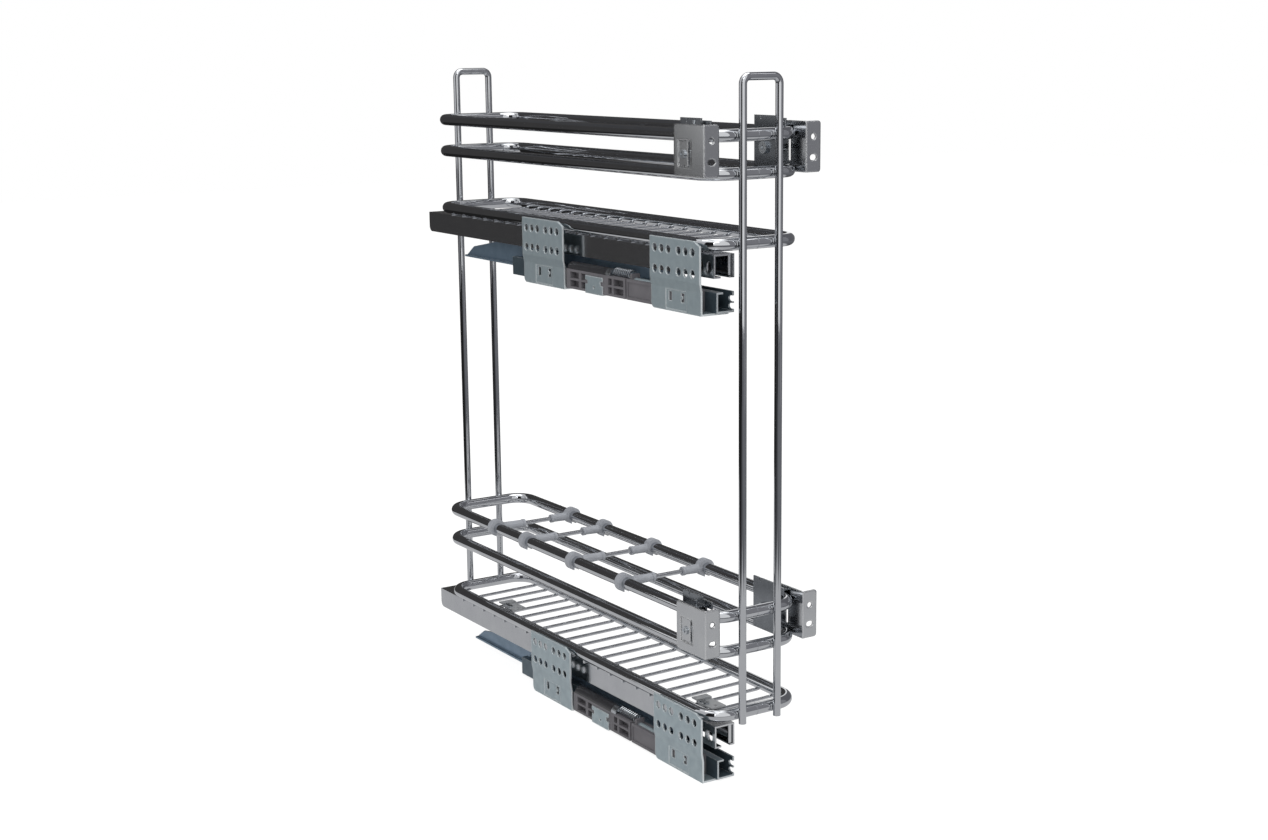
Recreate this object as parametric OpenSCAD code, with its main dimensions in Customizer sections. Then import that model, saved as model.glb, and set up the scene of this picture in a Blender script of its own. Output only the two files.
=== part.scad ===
// Pull out larder unit: two wire baskets on upright loops, carried by two side runners.
// All lengths are in millimetres.

/* [Baskets] */
// Outer width of a basket over its side rails
basket_w = 89; // [76:0.5:110]
// Outer depth of a basket over its end rails
basket_d = 441.5; // [436:0.5:520]
// Diameter of the basket rails
tube_d = 9.5; // [8.5:0.1:10.5]
// Bend radius of a rail corner, to the rail's centre line
tube_bend_r = 17.5; // [14:0.5:20]
// Height of the top rail over the floor rail
top_rail_h = 79.2; // [60:0.1:110]
// Distance from the top rail down to the middle rail
rail_step = 27.9; // [26.5:0.1:34]
// Height of the upper basket's floor rail over the lower one's
upper_h = 363.5; // [300:0.5:700]
// How far the uprights' top bars stand above the upper basket's top rail
loop_rise = 42.3; // [25:0.1:80]

/* [Upright loops] */
// Diameter of the upright rod
rod_d = 6; // [5:0.1:6.6]
// Gap between a leg and the runner that it slides past
leg_gap = 0.35; // [0.3:0.05:1.2]
// Bend radius at the top of a loop, to the rod's centre line
loop_bend_r = 5.5; // [4.5:0.1:10]
// How far a leg runs on below the floor rail
leg_drop = 1.6; // [0.5:0.1:10]
// Depth of the dent that seats a leg in an end rail
dent_depth = 0.7; // [0.3:0.05:1.2]

/* [Floor wires] */
// Diameter of a floor wire
wire_d = 2.8; // [2.2:0.1:3]
// Number of floor wires in a basket
wire_count = 20; // [12:1:20]
// Distance from one floor wire to the next
wire_pitch = 20.1; // [12:0.1:20.3]
// Depth of the weld that sinks a wire into the near rail
wire_sink = 1; // [0.6:0.05:1.2]
// How much higher a wire ends at the far rail
wire_rise = 1.3; // [0.8:0.1:1.5]
// Overhang of a wire past the near rail's centre line
wire_over = 2.75; // [2:0.05:3.5]
// Distance from a wire's far end to the far rail's centre line
wire_short = 3.75; // [3.2:0.05:4]

/* [Carrier channel] */
// Distance from the baskets' front to the channel's front end
channel_front = 3.6; // [2.5:0.1:8]
// How far the channel runs on behind the baskets
channel_rear = 23; // [8:0.1:60]
// Width of the channel
channel_w = 18.3; // [17.9:0.1:19.5]
// Height of the channel
channel_h = 17.7; // [17:0.1:20]
// Sheet thickness of the channel
channel_t = 1.3; // [1:0.1:1.6]
// Width of the channel's near lip, from its outer face
near_lip = 6; // [4:0.1:7.5]
// Width of the channel's far lip, from its outer face
far_lip = 4.2; // [3:0.1:5]
// Distance from the near rail's centre line to the channel's outer face
channel_inset = 1.6; // [0.8:0.05:4]

// Size of an oval slot in the channel's near wall, along and up
channel_slot_w = 6; // [4:0.1:7]
channel_slot_h = 7.8; // [7:0.1:9]
// Distance from the channel's front end to the first of its two slots
channel_slot_front = 6.3; // [5:0.1:12]
// Distance from one slot to the next
channel_slot_pitch = 10.3; // [9:0.1:30]

/* [Middle rail] */
// Length of the middle rail
mid_l = 348; // [344:0.5:380]
// Thickness of the middle rail
mid_t = 1.6; // [1.2:0.1:1.8]
// Width of the middle rail's head
mid_head_w = 11; // [10:0.1:11.6]
// Room between the channel's roof and the middle rail's head
head_room = 4.5; // [3:0.1:5]
// Distance from the channel's near face to the middle rail's web
web_in = 9.7; // [9.4:0.05:10]
// Reach of the foot's near lip past the web
foot_near = 2.6; // [1.5:0.1:3.5]
// Reach of the foot's far lip past the web
foot_far = 3; // [1.5:0.1:4]
// Room between the foot and the fixed rail's floor
foot_room = 5.3; // [4:0.1:6.5]
// Distance from the baskets' front to the middle rail's front end
mid_front = 60.7; // [58:0.1:70]
// Length of the slant cut at the middle rail's rear end
mid_slant = 65.5; // [40:0.5:90]

/* [Glides] */
// Length of a glide
glide_l = 20; // [12:0.5:20]
// Running clearance of a glide in its rail
glide_gap = 0.4; // [0.3:0.05:0.5]
// Distance from the middle rail's front end to the front head glide
head_glide_front = 5; // [2:0.5:6]
// Distance from the middle rail's front end to the rear head glide
head_glide_rear = 160; // [80:1:165]
// Distance from the middle rail's front end to the front foot glide
foot_glide_front = 173; // [172:0.5:176]
// Distance from the middle rail's front end to the rear foot glide
foot_glide_rear = 230; // [205:0.5:233]

/* [Fixed rail] */
// Length of the fixed rail
fixed_l = 307; // [306.5:0.5:330]
// Width of the fixed rail
fixed_w = 15.8; // [15.2:0.1:16.4]
// Height of the fixed rail
fixed_h = 15.5; // [14.5:0.1:16]
// Sheet thickness of the fixed rail
fixed_t = 1.4; // [1.1:0.1:1.6]
// Width of the fixed rail's top lip, from its outer face
fixed_lip = 5.9; // [4:0.1:6.1]
// Gap between the channel's lower edge and the fixed rail
rail_gap = 10.5; // [9:0.1:12]
// Distance from the baskets' front to the fixed rail's front end
fixed_front = 3.95; // [3:0.05:6]
// Diameter of the round notches in the rail's front end
notch_d = 4.4; // [3:0.1:5]
// Depth of the round notches
notch_depth = 5.2; // [3:0.1:7]

/* [Runner brackets] */
// Width of a bracket along the runner
bracket_w = 66.5; // [66:0.5:72]
// Sheet thickness of a bracket
bracket_t = 1.5; // [1.2:0.1:1.8]
// Distance from the cabinet's side to the channel's near face
wall_gap = 10.35; // [9.85:0.05:11.5]
// How far a bracket stands above the floor rail's centre line
bracket_top = 3.2; // [1:0.1:4.4]
// Distance between the front and the rear bracket's holes
bracket_pitch = 196.5; // [192:0.5:220]
// How far the fixed rail's front end stands in front of the bracket
rail_lead = 3.4; // [1:0.1:5]
// Depth of the step that sets the lower half of a bracket inwards
step_in = 1.2; // [0.8:0.1:1.4]
// Distance from the bracket's top down to the step
step_top = 31.2; // [30:0.1:33]
// Height of the step
step_h = 6.3; // [4:0.1:8]
// Diameter of a screw hole
hole_d = 6.2; // [5:0.1:6.6]
// Distance between holes within a group of three
hole_step = 9.15; // [8.5:0.05:9.3]
// Distance between the two groups of holes
group_pitch = 32; // [31.5:0.1:32.5]
// Distance between the two rows of holes
row_pitch = 16; // [15:0.1:17]
// Distance from the bracket's front edge to the first hole
hole_front = 9.5; // [8.5:0.1:10]
// Distance from the bracket's top to the upper row of holes
hole_top = 8.5; // [8:0.1:9]

/* [Soft close] */
// Gap between the rear bracket and the housing
housing_rear_gap = 2.9; // [1:0.1:6]
// Depth of the grid pockets in the housing
pocket_depth = 5; // [2:0.1:6]
// Radius of the half round cover
cover_r = 5.5; // [4.5:0.1:5.8]
// Length of the half round cover
cover_l = 58; // [50:0.5:58]
// Diameter of the damper's cylinder
damper_d = 5.4; // [4.5:0.1:5.6]
// Outer diameter of the tension spring
spring_od = 7.6; // [6:0.1:8]
// Diameter of the spring's wire
spring_wire = 0.9; // [0.7:0.05:1.1]
// Length of the tension spring
spring_l = 27; // [25:0.5:27]
// Number of curls in the spring
spring_turns = 9; // [5:1:10]

/* [Door brackets] */
// Sheet thickness of a door bracket
door_t = 1.3; // [1:0.1:1.4]
// Height of a door bracket's outer plate
door_h = 38.2; // [36:0.1:42]
// Height of a door bracket's top edge above the top rail
door_top = 8.5; // [7.5:0.1:10]
// Length of a door bracket's side plate
door_l = 38.8; // [37:0.1:40]
// Width of the flange that the door is screwed to
flange_w = 13.5; // [11.5:0.1:13.5]
// Distance from the baskets' front to the flange's front face
flange_back = 2; // [0.2:0.05:2.05]
// Distance from the near rail's centre line to the left plate's outer face
left_out = 8.25; // [7.5:0.05:8.4]
// Distance from the far rail's centre line to the right plate's outer face
right_out = 6.35; // [6.35:0.05:8]
// Diameter of the door screw holes
door_hole_d = 4.4; // [3.5:0.1:5]
// Length of the lower, slotted door screw hole
door_slot_l = 6.4; // [5:0.1:8]
// Radius of a door bracket's rounded corners
door_round = 2.4; // [1:0.1:4]
// Distance between the two door screw holes
door_hole_pitch = 15.4; // [14:0.1:17]
// Distance from the flange's top to the upper door screw hole
door_hole_top = 11.7; // [9:0.1:13]

/* [Dividers] */
// Place of the first divider along the basket, from its middle
divider_1 = 124.5; // [110:0.5:130]
// Place of the second divider
divider_2 = 67.8; // [60:0.5:75]
// Place of the third divider
divider_3 = -12.6; // [-20:0.5:-5]
// Place of the fourth divider
divider_4 = -91.5; // [-96:0.5:-85]
// Outer diameter of a divider's ring
ring_d = 15; // [13.5:0.1:16]
// Width of a divider's ring
ring_w = 7; // [5:0.1:8]
// Diameter of a divider's rod
divider_rod_d = 3.8; // [3:0.1:4.2]
// Length of the near sleeve from the rail's centre line
near_sleeve = 29; // [20:0.1:31]
// Length of the far sleeve from the rail's centre line
far_sleeve = 23; // [18:0.1:31]

/* [Hidden] */
$fn = 48;

// How far a cut runs past the face that it opens
over = 1;
// Gap between two pieces that lie against each other
seat = 0.05;
// Gap between two pieces that only lie close
clear = 0.3;

// Centre lines of the rails
mid_rail_h = top_rail_h - rail_step;
rail_x = (basket_w - tube_d) / 2;
rail_y = (basket_d - tube_d) / 2;
front_y = -basket_d / 2;
upper_top_z = upper_h + top_rail_h;
loop_top_z = upper_top_z + loop_rise;
leg_foot_z = -tube_d / 2 - leg_drop;

// Rod loops, seated in the dents of the end rails, with their legs beside the runner
loop_w = 2 * (rail_x - channel_inset - channel_w - leg_gap) - rod_d;
// Butt seam in the front end rails: width and depth
seam_w = 0.5;
seam_depth = 0.2;
rod_y = rail_y + tube_d / 2 - dent_depth + rod_d / 2 + seat;

// Floor wires
wire_x0 = -rail_x - wire_over;
wire_x1 = rail_x - wire_short;
wire_z0 = -(tube_d + wire_d) / 2 + wire_sink;
wire_tilt = atan(wire_rise / (wire_x1 - wire_x0));

// Runner, across the unit
channel_x = -rail_x + channel_inset;
channel_z = wire_z0 - wire_d / 2 - seat;
channel_y0 = front_y + channel_front;
channel_l = basket_d - channel_front + channel_rear;
// Radius of the channel's rear lower corner
channel_corner = 5;
web_x = channel_x + web_in;
mid_y0 = front_y + mid_front;
head_z = channel_z - channel_t - head_room;
// The fixed rail's far face lies under the channel's
fixed_x = channel_x + channel_w - fixed_w;
fixed_top = channel_z - channel_h - rail_gap;
fixed_floor = fixed_top - fixed_h + fixed_t;
fixed_y0 = front_y + fixed_front;
foot_z = fixed_floor + foot_room;
// Bend in the middle rail's slant cut, as shares of its length and height
bend_shares = [0.195, 0.47];
// Height of the fixed rail's far wall over its top lip
far_wall_rise = 0.3;
// Height of the two notches over the rail's lower face, as shares of its height
notch_shares = [0.3, 0.66];

// Brackets
wall_x = channel_x - wall_gap;
bracket_bottom = fixed_top - fixed_h - seat - bracket_t;
bracket_h = bracket_top - bracket_bottom;
bracket_y0 = fixed_y0 + rail_lead;
// Radius of the bracket's rounded lower corner
bracket_round = 4.5;
// Size of the bracket's bevelled upper corner, along and down
bevel_l = 7.5;
bevel_h = 3.4;
// Reach of the lower flange, which ends short of the fixed rail's far face
flange_short = 2.65;
flange_reach = fixed_x + fixed_w - wall_x - flange_short;
// Sunk panel in the lower half: length, height, depth, place from the front edge and below the step
panel_l = 27.7;
panel_h = 15;
panel_depth = 0.5;
panel_front = 19;
panel_drop = 1.2;
// The two slots in that panel
slot_w = 4.2;
slot_h = 6.8;
slot_inset = 3.5;
tongue_w = 2;
tongue_h = 2.4;

// Soft close, as places from the rear bracket's front edge
// How far the housing stands above the fixed rail's top lip
housing_rise = 0.8;
// Length of the housing's nose behind the front bracket
nose_l = 55;
// Wall of the half round cover, and its gap from the housing's rear end
cover_t = 1;
cover_rear = 2;
// The bright seat between the cover and the spring
spring_seat_l = 7;
// Post that the spring's front end meets
post_l = 2.5;
// How far the cylinder shows above the housing
damper_show = 1.1;
// How deep the spring lies in the trough
spring_sunk = 0.6;
near_plate_x = wall_x + step_in;
rear_edge = bracket_y0 + bracket_pitch;
front_edge = bracket_y0 + bracket_w;
housing_x0 = near_plate_x + clear;
housing_x1 = fixed_x - seat;
housing_top = fixed_top + housing_rise;
housing_bottom = bracket_bottom + bracket_t + clear;
housing_y0 = front_edge + clear;
housing_y1 = rear_edge - housing_rear_gap;
housing_l = housing_y1 - housing_y0;
nose_x0 = near_plate_x + bracket_t + clear;
// Centre line of the damper between the cabinet side and the fixed rail
damper_x = (housing_x0 + housing_x1) / 2;
cover_y1 = housing_y1 - cover_rear;
cover_y0 = cover_y1 - cover_l;
spring_y1 = cover_y0 - spring_seat_l - seat;
spring_y0 = spring_y1 - spring_l;
spring_r = (spring_od - spring_wire) / 2;
spring_z = housing_top + spring_od / 2 - spring_sunk;
post_y1 = spring_y0 - seat;
damper_z = housing_top - damper_d / 2 + damper_show;
damper_y1 = post_y1 - post_l - seat;
damper_y0 = housing_y0 - nose_l + over;
// Grid pockets: start and end along the housing, as shares of its length from the rear
pocket_shares = [[0.05, 0.155], [0.185, 0.235], [0.51, 0.55], [0.572, 0.685]];
// Pocket rows, as shares of the housing's height from its foot
row_shares = [[0.12, 0.44], [0.55, 0.87]];
// The framed smooth panel, as shares of the length and height
frame_shares = [[0.735, 0.985], [0.14, 0.86]];
frame_depth = 0.7;
groove_shares = [0.705, 0.722];
// Zinc clip plate on the housing
clip_l = 26;
clip_t = 0.8;
clip_place_share = 0.245;
clip_lift = 2.6;
clip_notch = 3.4;
clip_fold = 9;
clip_dot_d = 2;

// Door brackets
flange_y = front_y + flange_back;
// Recess in the side plate: length, height, depth, place behind the fold and below the top
recess_l = 17;
recess_h = 19.5;
recess_depth = 0.8;
recess_back = 16.7;
recess_drop = 11.6;
recess_slot_w = 2.2;
recess_slot_inset = 2.4;
// Inner clamp plate: length, height above the rail, rear edge from the flange's front face
clamp_top = 12.3;
clamp_l = 31.5;
clamp_rear = 49.8;
shoulder_l = 39;
tab_l = 8;
tab_gap = 1.5;
tab2_l = 17.4;
shoulder_drop = 1.6;
bridge_l = 18;
bridge_back = 20;
// Screws of a door bracket
clamp_screw_d = 4;
clamp_head_d = 9.5;
clamp_head_h = 2.2;
clamp_screw_back = 36.4;
clamp_screw_drop = 20.4;
plate_screw_d = 3;
plate_head_d = 6.5;
plate_head_h = 1.2;
plate_cross_depth = 0.6;
plate_screw_back = 27.7;
plate_screw_drop = 22;
cross_w = 0.9;
cross_l = 3.6;
cross_depth = 0.9;
stud_d = 2.6;
stud_back = 24;
stud_rise = 4.6;

// Floor clips: width, length, thickness, step and places from the channel and the front
clip_floor_w = 14;
clip_floor_l = 27;
clip_floor_t = 1.2;
clip_floor_step = 1.6;
clip_floor_in = 13.6;
clip_front_y = 28;
clip_rear_y = 345.5;
clip_screw_d = 3;
clip_head_d = 4.8;
clip_head_h = 1.3;
clip_hole_d = 3;
clip_screw_in = 3;
// Length of the clip's lower part, and the places of its foot, screws and hole along it
clip_low_l = 20.5;
clip_foot_y = 11;
clip_foot_l = 5;
clip_screw_ys = [11, 16.2];
clip_hole_y = 4.5;

// Divider sleeves
ring_bore = tube_d + 2 * seat;
sleeve_r0 = 4.1;
sleeve_r1 = 3.3;
sleeve_step = 0.5;
sleeve_step_l = 2.6;
snap_slit = 4;
rod_inset = 6;

// Origin: middle of the lower front bracket's screw pattern on the cabinet side
origin = [
    wall_x,
    bracket_y0 + hole_front + hole_step + group_pitch / 2,
    bracket_top - hole_top - row_pitch / 2
];

module place(z = 0) {
    translate([0, 0, z] - origin) children();
}

// Bar of round section along one axis
module bar_x(d, l) {
    rotate([0, 90, 0]) cylinder(d = d, h = l);
}

module bar_y(d, l) {
    rotate([-90, 0, 0]) cylinder(d = d, h = l);
}

// Sheet outline in the runner's cross section, drawn out along the runner
module along(y0, l) {
    translate([0, y0 + l, 0]) rotate([90, 0, 0]) linear_extrude(l) children();
}

// Closed rail of a basket, dented where the uprights cross its ends
module hoop() {
    side = 2 * (rail_y - tube_bend_r);
    end = 2 * (rail_x - tube_bend_r);
    difference() {
        union() {
            for (s = [-1, 1]) {
                translate([s * rail_x, -side / 2, 0]) bar_y(tube_d, side);
                translate([-end / 2, s * rail_y, 0]) bar_x(tube_d, end);
            }
            for (q = [0 : 3])
                translate([(q == 0 || q == 3 ? 1 : -1) * end / 2, (q < 2 ? 1 : -1) * side / 2, 0])
                    rotate([0, 0, 90 * q])
                        rotate_extrude(angle = 90) translate([tube_bend_r, 0]) circle(d = tube_d);
        }
        for (s = [-1, 1], t = [-1, 1])
            translate([s * loop_w / 2, t * rod_y, -tube_d])
                cylinder(r = rod_d / 2 + seat, h = 2 * tube_d);
        translate([-seam_w / 2, -rail_y, 0]) difference() {
            bar_x(tube_d + 2 * over, seam_w);
            translate([-over, 0, 0]) bar_x(tube_d - 2 * seam_depth, seam_w + 2 * over);
        }
    }
}

// Bent rod with two legs
module loop() {
    leg = loop_top_z - loop_bend_r - leg_foot_z;
    bar = loop_w - 2 * loop_bend_r;
    for (s = [-1, 1]) {
        translate([s * loop_w / 2, 0, leg_foot_z]) cylinder(d = rod_d, h = leg);
        translate([s * bar / 2, 0, loop_top_z - loop_bend_r])
            rotate([90, s > 0 ? 0 : -90, 0])
                rotate_extrude(angle = 90) translate([loop_bend_r, 0]) circle(d = rod_d);
    }
    translate([-bar / 2, 0, loop_top_z]) bar_x(rod_d, bar);
}

// Floor wires, notched where they are welded under the rails
module floor_wires() {
    difference() {
        for (i = [0 : wire_count - 1])
            translate([wire_x0, (i - (wire_count - 1) / 2) * wire_pitch, wire_z0])
                rotate([0, -wire_tilt, 0])
                    bar_x(wire_d, (wire_x1 - wire_x0) / cos(wire_tilt));
        for (s = [-1, 1])
            translate([s * rail_x, -rail_y, 0]) bar_y(tube_d + 2 * seat, 2 * rail_y);
    }
}

// Inverted channel with two lips, under the near side of a basket
module channel() {
    x0 = channel_x;
    x1 = channel_x + channel_w;
    z1 = channel_z;
    z0 = channel_z - channel_h;
    t = channel_t;
    difference() {
        along(channel_y0, channel_l) polygon([
            [x0, z1], [x1, z1], [x1, z0], [x1 - far_lip, z0], [x1 - far_lip, z0 + t],
            [x1 - t, z0 + t], [x1 - t, z1 - t], [x0 + t, z1 - t], [x0 + t, z0 + t],
            [x0 + near_lip, z0 + t], [x0 + near_lip, z0], [x0, z0]
        ]);
        corner_cut(x0 - over, channel_y0 + channel_l, z0, channel_w + 2 * over, channel_corner);
        for (i = [0, 1])
            translate([
                x0 - over, channel_y0 + channel_slot_front + i * channel_slot_pitch, (z0 + z1 - t) / 2
            ])
                channel_slot(t + 2 * over);
    }
}

// Upright oval slot through a wall
module channel_slot(w) {
    rise = (channel_slot_h - channel_slot_w) / 2;
    for (k = [-1, 1]) translate([0, 0, k * rise]) bar_x(channel_slot_w, w);
    translate([0, -channel_slot_w / 2, -rise]) cube([w, channel_slot_w, 2 * rise]);
}

// Cuts a rounded lower rear corner, radius r, across a sheet
module corner_cut(x, y, z, w, r) {
    difference() {
        translate([x, y - r, z - over]) cube([w, r + over, r + over]);
        translate([x - over, y - r, z + r]) bar_x(2 * r, w + 2 * over);
    }
}

// Outline of the middle rail: head, web and foot, grown by g for the glides' slots
module mid_outline(g = 0) {
    t = mid_t;
    xc = web_x + t / 2;
    polygon([
        [xc - mid_head_w / 2 - g, head_z + g], [xc + mid_head_w / 2 + g, head_z + g],
        [xc + mid_head_w / 2 + g, head_z - t - g], [web_x + t + g, head_z - t - g],
        [web_x + t + g, foot_z + t + g], [web_x + t + foot_far + g, foot_z + t + g],
        [web_x + t + foot_far + g, foot_z - g], [web_x - foot_near - g, foot_z - g],
        [web_x - foot_near - g, foot_z + t + g], [web_x - g, foot_z + t + g],
        [web_x - g, head_z - t - g], [xc - mid_head_w / 2 - g, head_z - t - g]
    ]);
}

module middle_rail() {
    y1 = mid_y0 + mid_l;
    z0 = foot_z + mid_t;
    z1 = channel_z - channel_h;
    difference() {
        along(mid_y0, mid_l) mid_outline();
        translate([web_x - mid_head_w, 0, 0])
            rotate([90, 0, 90]) linear_extrude(2 * mid_head_w) polygon([
                [y1 - mid_slant, head_z + over], [y1 + over, head_z + over],
                [y1 + over, z0], [y1, z0],
                [y1 - bend_shares[0] * mid_slant, z0 + bend_shares[1] * (z1 - z0)],
                [y1 - mid_slant, z1]
            ]);
    }
}

// Plastic glides that clip on the middle rail's head and foot
module glides() {
    g = glide_gap;
    difference() {
        union() {
            for (y = [head_glide_front, head_glide_rear])
                translate([
                    channel_x + channel_t + g, mid_y0 + y, channel_z - channel_h + channel_t + g
                ])
                    cube([
                        channel_w - 2 * (channel_t + g), glide_l, channel_h - 2 * (channel_t + g)
                    ]);
            for (y = [foot_glide_front, foot_glide_rear])
                translate([fixed_x + fixed_t + g, mid_y0 + y, fixed_floor + g])
                    cube([fixed_w - 2 * (fixed_t + g), glide_l, fixed_h - 2 * (fixed_t + g)]);
        }
        along(mid_y0 - over, mid_l) mid_outline(seat);
    }
}

// Fixed rail: a trough with one top lip, notched at its front end
module fixed_rail() {
    x0 = fixed_x;
    x1 = fixed_x + fixed_w;
    z0 = fixed_top - fixed_h;
    t = fixed_t;
    difference() {
        along(fixed_y0, fixed_l) polygon([
            [x0, z0], [x1, z0], [x1, fixed_top + far_wall_rise],
            [x1 - t, fixed_top + far_wall_rise], [x1 - t, z0 + t], [x0 + t, z0 + t],
            [x0 + t, fixed_top - t], [x0 + fixed_lip, fixed_top - t],
            [x0 + fixed_lip, fixed_top], [x0, fixed_top]
        ]);
        for (s = notch_shares)
            translate([x1 - t - over, fixed_y0, z0 + s * fixed_h]) {
                translate([0, notch_depth - notch_d / 2, 0]) bar_x(notch_d, t + 2 * over);
                translate([0, -over, -notch_d / 2])
                    cube([t + 2 * over, over + notch_depth - notch_d / 2, notch_d]);
            }
    }
}

// Stepped side plate with screw holes, slots and a flange under the fixed rail
module runner_bracket(y0) {
    t = bracket_t;
    z_step = bracket_top - step_top;
    z_low = z_step - step_h;
    difference() {
        along(y0, bracket_w) translate([wall_x, 0]) polygon([
            [0, bracket_top], [t, bracket_top], [t, z_step], [t + step_in, z_low],
            [t + step_in, bracket_bottom + t], [flange_reach, bracket_bottom + t],
            [flange_reach, bracket_bottom], [step_in, bracket_bottom],
            [step_in, z_low], [0, z_step]
        ]);
        for (r = [0, 1], g = [0, 1], i = [0 : 2])
            translate([
                wall_x - over,
                y0 + hole_front + g * group_pitch + i * hole_step,
                bracket_top - hole_top - r * row_pitch
            ])
                bar_x(hole_d, t + 2 * over);
        bevel(y0);
        corner_cut(
            wall_x - over, y0 + bracket_w, bracket_bottom, step_in + t + 2 * over, bracket_round
        );
        sunk_panel(y0, z_low);
        panel_slots(y0, z_low);
    }
}

module bevel(y0) {
    translate([wall_x - over, 0, 0]) rotate([90, 0, 90])
        linear_extrude(bracket_t + 2 * over) polygon([
            [y0 - over, bracket_top + over], [y0 + bevel_l, bracket_top + over],
            [y0 + bevel_l, bracket_top], [y0, bracket_top - bevel_h],
            [y0 - over, bracket_top - bevel_h]
        ]);
}

module sunk_panel(y0, z_low) {
    translate([near_plate_x - over, y0 + panel_front, z_low - panel_drop - panel_h])
        cube([over + panel_depth, panel_l, panel_h]);
}

// One plain slot and one slot with a tongue left in it
module panel_slots(y0, z_low) {
    z = z_low - panel_drop - slot_inset / 2 - slot_h;
    w = bracket_t + 2 * over;
    translate([near_plate_x - over, 0, 0]) {
        translate([0, y0 + panel_front + panel_l - slot_inset - slot_w, z])
            cube([w, slot_w, slot_h]);
        difference() {
            translate([0, y0 + panel_front + slot_inset, z]) cube([w, slot_w, slot_h]);
            translate([
                -over, y0 + panel_front + slot_inset + slot_w - tongue_w,
                z + (slot_h - tongue_h) / 2
            ])
                cube([w + 2 * over, tongue_w + over, tongue_h]);
        }
    }
}

// Plastic body of the soft close, between the brackets and behind the front one
module damper_housing() {
    h = housing_top - housing_bottom;
    difference() {
        union() {
            translate([housing_x0, housing_y0, housing_bottom])
                cube([housing_x1 - housing_x0, housing_l, h]);
            translate([nose_x0, housing_y0 - nose_l, housing_bottom])
                cube([housing_x1 - nose_x0, nose_l + over, h]);
            translate([damper_x - spring_od / 2, post_y1 - post_l, damper_z])
                cube([spring_od, post_l, spring_z + spring_wire - damper_z]);
        }
        for (p = pocket_shares, r = row_shares)
            translate([
                housing_x0 - over, housing_y1 - p[1] * housing_l, housing_bottom + r[0] * h
            ])
                cube([over + pocket_depth, (p[1] - p[0]) * housing_l, (r[1] - r[0]) * h]);
        housing_panel(h);
        housing_trough();
    }
}

module housing_panel(h) {
    f = frame_shares;
    translate([housing_x0 - over, housing_y1 - f[0][1] * housing_l, housing_bottom + f[1][0] * h])
        cube([over + frame_depth, (f[0][1] - f[0][0]) * housing_l, (f[1][1] - f[1][0]) * h]);
    translate([housing_x0 - over, housing_y1 - groove_shares[1] * housing_l, housing_bottom - over])
        cube([
            over + pocket_depth, (groove_shares[1] - groove_shares[0]) * housing_l, h + 2 * over
        ]);
}

// Rounded troughs that the spring and the cylinder lie in
module housing_trough() {
    translate([damper_x, post_y1, spring_z]) bar_y(spring_od + 2 * clear, spring_l + 2 * seat);
    translate([damper_x, housing_y0 - nose_l - over, damper_z])
        bar_y(damper_d + 2 * seat, post_y1 - post_l - housing_y0 + nose_l + over);
    translate([
        damper_x - damper_d / 2 - seat, housing_y0 - nose_l - over, damper_z
    ])
        cube([
            damper_d + 2 * seat, post_y1 - post_l - housing_y0 + nose_l + over, damper_d
        ]);
}

module damper_cover() {
    translate([damper_x, cover_y0, housing_top + seat]) difference() {
        bar_y(2 * cover_r, cover_l);
        translate([0, -over, 0]) bar_y(2 * (cover_r - cover_t), cover_l - cover_t);
        translate([-cover_r - over, -over, -cover_r - over])
            cube([2 * (cover_r + over), cover_l + 2 * over, cover_r + over]);
    }
}

// Bright hook piece between the cover and the spring
module spring_seat() {
    l = spring_seat_l - seat;
    translate([damper_x, cover_y0 - spring_seat_l, housing_top + seat]) difference() {
        bar_y(2 * cover_r, l);
        translate([-cover_r - over, -over, -cover_r - over])
            cube([2 * (cover_r + over), l + 2 * over, cover_r + over]);
    }
}

module damper_cylinder() {
    translate([damper_x, damper_y0, damper_z]) bar_y(damper_d, damper_y1 - damper_y0);
}

// Zinc plate that wraps the housing's face and foot
module clip_plate() {
    y1 = housing_y1 - clip_place_share * housing_l;
    x0 = housing_x0 - seat - clip_t;
    z0 = housing_bottom - seat;
    z1 = housing_top - clip_lift;
    difference() {
        union() {
            translate([x0, y1 - clip_l, z0]) cube([clip_t, clip_l, z1 - z0]);
            translate([x0, y1 - clip_l, z0 - clip_t]) cube([clip_fold, clip_l, clip_t]);
        }
        for (y = [y1 - clip_notch, y1 - clip_l])
            translate([x0 - over, y, z1 - 2 * clip_notch])
                cube([clip_t + 2 * over, clip_notch, clip_notch]);
        translate([x0 - over, y1 - clip_l / 2, (z0 + z1) / 2 - clip_dot_d])
            bar_x(clip_dot_d, clip_t + 2 * over);
    }
}

// Round tube swept along a list of points around the spring's axis, closed at both ends
module tube(path, r, sides) {
    n = len(path);
    rings = [
        for (i = [0 : n - 1])
            let (
                a = path[max(i - 1, 0)],
                b = path[min(i + 1, n - 1)],
                d = (b - a) / norm(b - a),
                out = [path[i][0], 0, path[i][2]],
                u = out - (out * d) * d,
                v = u / norm(u),
                w = cross(d, v)
            )
            for (k = [0 : sides - 1])
                path[i] + r * (cos(360 * k / sides) * v + sin(360 * k / sides) * w)
    ];
    skin = [
        for (i = [0 : n - 2], k = [0 : sides - 1])
            let (
                p = i * sides + k,
                q = i * sides + (k + 1) % sides
            )
            each [[p, p + sides, q], [q, p + sides, q + sides]]
    ];
    low = [for (k = [1 : sides - 2]) [0, k, k + 1]];
    top = (n - 1) * sides;
    high = [for (k = [1 : sides - 2]) [top, top + k + 1, top + k]];
    polyhedron(points = rings, faces = concat(low, skin, high));
}

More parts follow.
